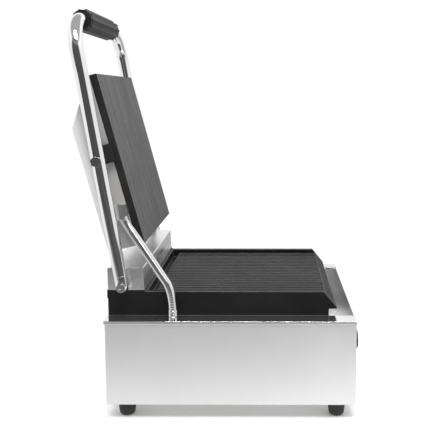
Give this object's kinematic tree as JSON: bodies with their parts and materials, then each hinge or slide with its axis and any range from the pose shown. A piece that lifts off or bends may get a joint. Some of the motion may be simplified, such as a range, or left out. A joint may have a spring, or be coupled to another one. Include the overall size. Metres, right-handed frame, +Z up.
{
  "type": "panini press",
  "caption": "Stainless contact grill with a ribbed lower plate, a ribbed head hung in a chrome U-shaped arm with a black grip, a drip tray and front controls.",
  "frame": {"origin": "on the table, under the middle of the bounding box with the head raised", "axes": "+Z up, -Y towards the user, +X to the user's right"},
  "size_m": [0.2922, 0.4061, 0.5504],
  "materials": {
    "stainless": "brushed",
    "bright_steel": "polished",
    "cast_plate": "seasoned cast",
    "zinc_steel": "zinc plated",
    "black_plastic": "moulded",
    "grip_plastic": "moulded",
    "foot_rubber": "matt",
    "dial_metal": "satin",
    "rocker_plastic": "gloss",
    "lamp_lens": "translucent",
    "heating_element": "sheathed",
    "insulation": "fibre blanket",
    "bronze": "plain",
    "terminal_ceramic": "glazed",
    "conduit_steel": "polished"
  },
  "bodies": {
    "base": {"housing_shell": "stainless", "top_deck": "stainless", "front_panel": "stainless", "bottom_plate": "zinc_steel", "foot_front_left": "foot_rubber", "foot_front_right": "foot_rubber", "foot_rear_left": "foot_rubber", "foot_rear_right": "foot_rubber", "foot_screws": "zinc_steel", "lower_plate": "cast_plate", "lower_element": "heating_element", "lower_element_clamp": "zinc_steel", "lower_clamp_bolts": "zinc_steel", "lower_insulation": "insulation", "hinge_box": "stainless", "hinge_bracket": "zinc_steel", "hinge_bush_left": "bronze", "hinge_bush_right": "bronze", "torsion_spring_left": "zinc_steel", "torsion_spring_right": "zinc_steel", "stop_block": "zinc_steel", "thermostat_body": "zinc_steel", "thermostat_nut": "zinc_steel", "dial_plate": "dial_metal", "switch_housing": "black_plastic", "pilot_lamp_lens": "lamp_lens", "pilot_lamp_holder": "black_plastic", "cord_gland": "black_plastic", "gland_lock_nut": "black_plastic", "terminal_block": "terminal_ceramic", "tray_runner_left": "zinc_steel", "tray_runner_right": "zinc_steel", "wiring_conduit": "conduit_steel", "deck_gland": "bright_steel"},
    "arm": {"arm_tube": "bright_steel", "arm_eye_left": "bright_steel", "arm_eye_right": "bright_steel", "hinge_shaft": "zinc_steel", "arm_pivot_bolts": "bright_steel", "stop_collar": "zinc_steel", "handle_grip": "grip_plastic", "grip_end_rings": "grip_plastic"},
    "head": {"upper_plate": "cast_plate", "upper_element": "heating_element", "upper_element_clamp": "zinc_steel", "upper_insulation": "insulation", "head_cover": "stainless", "head_pivot_bolts": "bright_steel", "head_spacers": "zinc_steel", "conduit_elbow": "bright_steel", "elbow_lock_nut": "zinc_steel", "cover_screws": "zinc_steel"},
    "knob": {"thermostat_knob": "black_plastic", "thermostat_spindle": "bronze"},
    "rocker": {"power_rocker": "rocker_plastic"},
    "tray": {"drip_tray": "stainless"}
  },
  "joints": [
    {"name": "arm_hinge", "type": "hinge", "parent": "base", "child": "arm", "pos_m": [0, 0.1283, 0.1807], "axis": [1, 0, 0], "range_deg": [0, 97.05], "deforming": ["wiring_conduit"]},
    {"name": "head_tilt", "type": "hinge", "parent": "arm", "child": "head", "pos_m": [0, 0.15584, 0.34795], "axis": [1, 0, 0], "range_deg": [-4, 12]},
    {"name": "thermostat_turn", "type": "hinge", "parent": "base", "child": "knob", "pos_m": [0, -0.19, 0.058], "axis": [0, 1, 0], "range_deg": [0, 270]},
    {"name": "switch_rock", "type": "hinge", "parent": "base", "child": "rocker", "pos_m": [-0.075, -0.18, 0.058], "axis": [1, 0, 0], "range_deg": [0, 16]},
    {"name": "tray_slide", "type": "slide", "parent": "base", "child": "tray", "axis": [0, -1, 0], "range_m": [0, 0.06]}
  ],
  "couplings": [
    {"joint": "head_tilt", "follows": "arm_hinge", "ratio": 0.078814}
  ]
}
